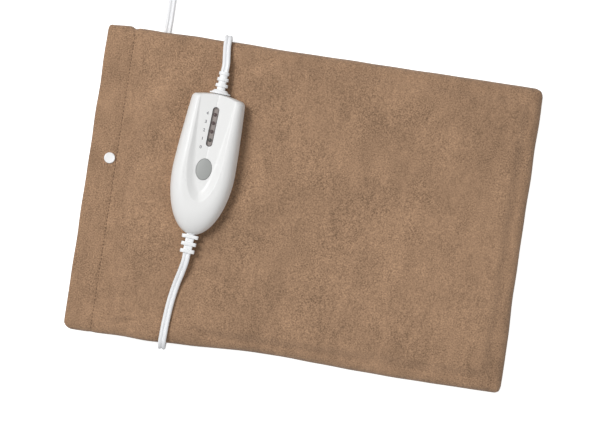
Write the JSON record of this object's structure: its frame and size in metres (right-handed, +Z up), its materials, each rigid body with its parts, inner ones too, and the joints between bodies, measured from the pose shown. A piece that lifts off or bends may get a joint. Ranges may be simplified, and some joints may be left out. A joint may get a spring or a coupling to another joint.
{
  "type": "heating pad with controller",
  "caption": "Flat plush-covered heating pad with a wired hand controller: a push button, a column of lights behind a window, a snapped cover and a coiled mains lead with plug.",
  "frame": {"origin": "middle of the cover, on the surface that the pad lies on", "axes": "+X along the cover's long side, away from its open end; +Y towards the mains side; +Z up"},
  "size_m": [0.432, 0.4932, 0.0428],
  "materials": {
    "plush": "short-pile micro-plush, brushed in patches",
    "plush_back": "short-pile micro-plush",
    "snap": "moulded, satin",
    "pad_skin": "soft sheet, welded at its border",
    "felt": "needled felt",
    "heating_wire": "round insulated wire",
    "ceramic": "fired, dull",
    "housing": "moulded, satin",
    "button": "moulded, matt",
    "window": "smoked, polished",
    "green_light": "tinted lens",
    "red_light": "tinted lens",
    "board": "coated board",
    "black_plastic": "moulded",
    "plunger": "moulded",
    "film_capacitor": "dipped case",
    "can_capacitor": "sleeved can",
    "brass": "plain",
    "screw": "zinc plated",
    "core": "copper strand",
    "cord": "soft moulded sheath"
  },
  "bodies": {
    "heating_pad": {"cover_front": "plush", "front_hem": "plush", "cover_back": "plush_back", "back_hem": "plush_back", "snap_cap": "snap", "snap_socket": "snap", "snap_stud": "snap", "snap_post": "snap", "inner_pad_lower_skin": "pad_skin", "inner_pad_upper_skin": "pad_skin", "lower_felt": "felt", "upper_felt": "felt", "heating_wire": "heating_wire", "thermostat_1": "ceramic", "thermostat_2": "ceramic", "junction_block": "ceramic", "power_resistor": "ceramic", "housing_top": "housing", "housing_bottom": "housing", "light_window": "window", "indicator_light_1": "green_light", "indicator_light_2": "red_light", "indicator_light_3": "red_light", "indicator_light_4": "red_light", "circuit_board": "board", "switch_body": "black_plastic", "microcontroller": "black_plastic", "triac": "black_plastic", "coil_tie": "black_plastic", "dropper_capacitor": "film_capacitor", "smoothing_capacitor": "can_capacitor", "fuse": "brass", "plug_blade_wide": "brass", "plug_blade_narrow": "brass", "housing_screw_1": "screw", "housing_screw_2": "screw", "housing_screw_3": "screw", "housing_screw_4": "screw", "mains_core_1": "core", "mains_core_2": "core", "pad_core_1": "core", "pad_core_2": "core", "mains_lead": "cord", "mains_lead_coil": "cord", "pad_lead": "cord", "pad_lead_outlet": "cord", "plug_body": "cord", "mains_strain_relief": "cord", "pad_strain_relief": "cord"},
    "button": {"select_button": "button"},
    "plunger": {"switch_plunger": "plunger"}
  },
  "joints": [
    {"name": "button_press", "type": "slide", "parent": "heating_pad", "child": "button", "axis": [0, 0, -1], "range_m": [0, 0.0008], "stiffness_N_per_m": 300},
    {"name": "plunger_press", "type": "slide", "parent": "heating_pad", "child": "plunger", "axis": [0, 0, -1], "range_m": [0, 0.0008], "stiffness_N_per_m": 100}
  ],
  "couplings": [
    {"joint": "plunger_press", "follows": "button_press", "ratio": 1}
  ]
}
